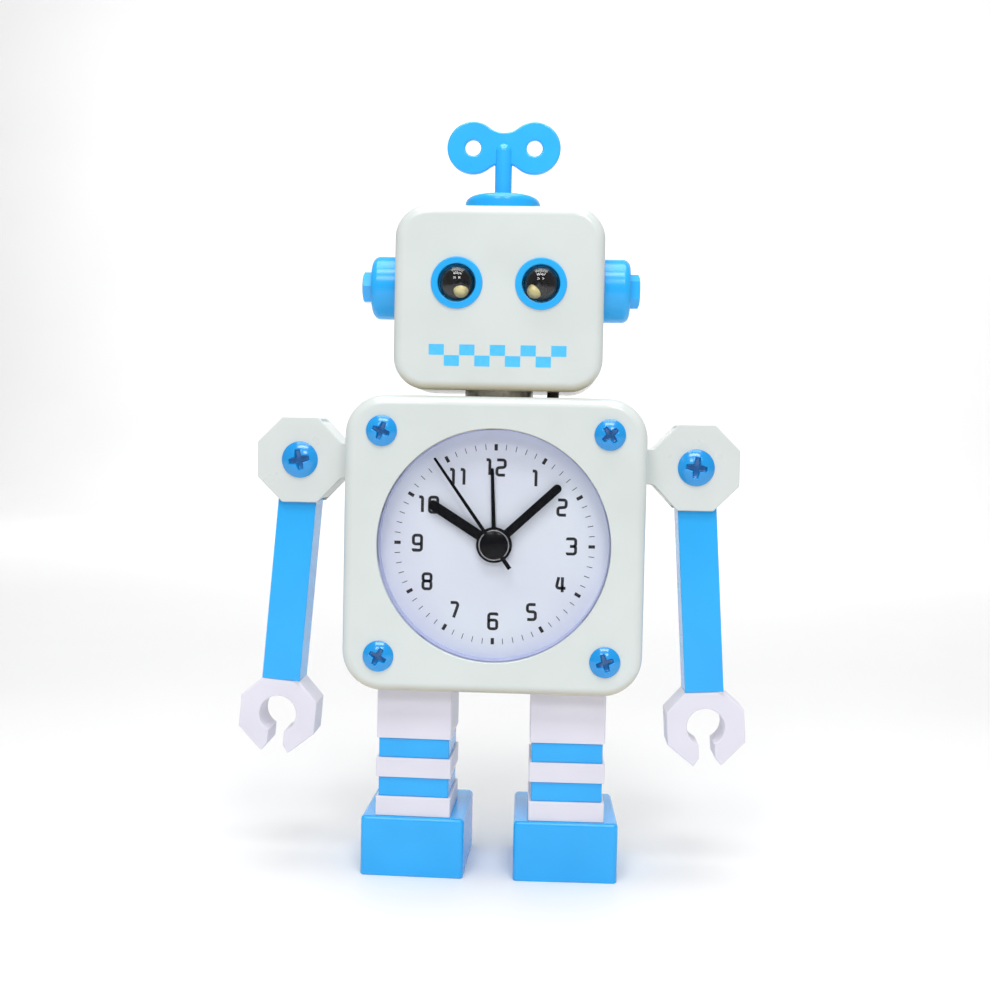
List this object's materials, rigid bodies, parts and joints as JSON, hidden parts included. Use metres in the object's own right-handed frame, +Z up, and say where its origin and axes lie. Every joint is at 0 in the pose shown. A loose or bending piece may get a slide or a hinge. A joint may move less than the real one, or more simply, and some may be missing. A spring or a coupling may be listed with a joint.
{
  "type": "toy robot alarm clock",
  "caption": "Toy robot desk clock with a boxy head and body, swinging arms with claws, an analogue dial in the chest and a wind-up key button on its head.",
  "frame": {"origin": "on the floor, under the middle of the overall width and depth", "axes": "+Z up, the face and dial look along -Y, +X is the viewer's right as seen from the front"},
  "size_m": [0.1497, 0.0457, 0.2206],
  "materials": {
    "ivory_paint": "gloss ivory-white paint on stamped tin",
    "ivory_plastic": "gloss ivory-white moulding",
    "blue_plastic": "gloss sky-blue moulding",
    "blue_metal": "gloss sky-blue enamelled metal",
    "white_plastic": "satin white moulding with a lavender cast",
    "dial_face": "matt white printed card",
    "black_hand": "satin black enamel",
    "black_plastic": "black moulding",
    "clear_plastic": "clear polished acrylic",
    "steel": "plain zinc-plated steel",
    "dark_steel": "blackened steel",
    "brass": "turned brass",
    "copper_coil": "enamelled copper winding",
    "green_board": "solder-masked circuit board",
    "led": "clear resin over a pale yellow phosphor",
    "spring_steel": "spring wire",
    "cell_wrap": "printed cell sleeve",
    "wire_red": "red insulated lead"
  },
  "bodies": {
    "root": {"body_shell": "ivory_paint", "body_back": "ivory_plastic", "body_screws": "blue_metal", "cover_screws": "steel", "dial_frame": "white_plastic", "dial_lens": "clear_plastic", "dial_plate": "dial_face", "movement_case": "black_plastic", "movement_cover": "black_plastic", "drive_coil": "copper_coil", "circuit_board": "green_board", "buzzer": "black_plastic", "switch_housing": "black_plastic", "battery_box": "black_plastic", "battery_contacts": "spring_steel", "batteries": "cell_wrap", "head_shell": "ivory_paint", "head_back": "ivory_plastic", "eye_bezels": "blue_plastic", "eye_lenses": "clear_plastic", "eye_reflectors": "black_plastic", "eye_leds": "led", "eye_board": "green_board", "ear_cups": "blue_plastic", "ear_bolts": "blue_metal", "m4_nuts": "steel", "wires": "wire_red", "key_collar": "blue_plastic", "key_spring": "spring_steel", "switch_tube": "white_plastic", "key_switch": "black_plastic", "neck": "steel", "neck_nuts": "steel", "frame_screws": "dark_steel", "shoulders": "ivory_plastic", "shoulder_screws": "blue_metal", "thighs": "white_plastic", "blue_slabs": "blue_plastic", "white_slabs": "white_plastic", "feet": "blue_plastic", "leg_bolts": "steel"},
    "arm_left": {"arm_left": "blue_plastic", "claw_left": "white_plastic"},
    "arm_right": {"arm_right": "blue_plastic", "claw_right": "white_plastic"},
    "key": {"key": "blue_metal"},
    "hour": {"hour_hand": "black_hand", "hour_wheel": "brass"},
    "minute": {"minute_hand": "black_hand", "minute_arbor": "brass"},
    "alarm": {"alarm_hand": "black_hand", "alarm_wheel": "brass"},
    "second": {"second_hand": "black_hand", "second_arbor": "brass"},
    "time_set": {"motion_wheel": "brass", "time_knob": "blue_plastic"},
    "alarm_set": {"alarm_arbor": "brass", "alarm_knob": "blue_plastic"},
    "switch": {"alarm_switch": "blue_plastic"},
    "door": {"battery_door": "ivory_plastic"}
  },
  "joints": [
    {"name": "arm_left_swing", "type": "hinge", "parent": "root", "child": "arm_left", "pos_m": [-0.0576, -0.0029, 0.12088], "axis": [0, 1, 0], "range_deg": [-4.6, 171.4]},
    {"name": "arm_right_swing", "type": "hinge", "parent": "root", "child": "arm_right", "pos_m": [0.0576, -0.0029, 0.12088], "axis": [0, -1, 0], "range_deg": [-3.8, 172.2]},
    {"name": "key_press", "type": "slide", "parent": "root", "child": "key", "axis": [0, 0, -1], "range_m": [0, 0.002], "stiffness_N_per_m": 400, "springref_m": -0.001, "deforming": ["key_spring"]},
    {"name": "minute_turn", "type": "hinge", "parent": "root", "child": "minute", "pos_m": [0, -0.0149, 0.09768], "axis": [0, 1, 0], "continuous": true},
    {"name": "hour_turn", "type": "hinge", "parent": "root", "child": "hour", "pos_m": [0, -0.0149, 0.09768], "axis": [0, 1, 0], "continuous": true},
    {"name": "second_turn", "type": "hinge", "parent": "root", "child": "second", "pos_m": [0, -0.0149, 0.09768], "axis": [0, 1, 0], "continuous": true},
    {"name": "alarm_turn", "type": "hinge", "parent": "root", "child": "alarm", "pos_m": [0, -0.0149, 0.09768], "axis": [0, 1, 0], "continuous": true},
    {"name": "time_set_turn", "type": "hinge", "parent": "root", "child": "time_set", "pos_m": [0.00707, 0.0171, 0.10475], "axis": [0, 1, 0], "continuous": true},
    {"name": "alarm_set_turn", "type": "hinge", "parent": "root", "child": "alarm_set", "pos_m": [-0.00707, 0.0171, 0.10475], "axis": [0, 1, 0], "continuous": true},
    {"name": "alarm_switch_slide", "type": "slide", "parent": "root", "child": "switch", "axis": [1, 0, 0], "range_m": [0, 0.005]},
    {"name": "battery_door_open", "type": "hinge", "parent": "root", "child": "door", "pos_m": [0, 0.0164, 0.06208], "axis": [-1, 0, 0], "range_deg": [0, 100]}
  ],
  "couplings": [
    {"joint": "hour_turn", "follows": "minute_turn", "ratio": 0.083333},
    {"joint": "time_set_turn", "follows": "minute_turn", "ratio": -0.33333},
    {"joint": "alarm_set_turn", "follows": "alarm_turn", "ratio": -4}
  ]
}
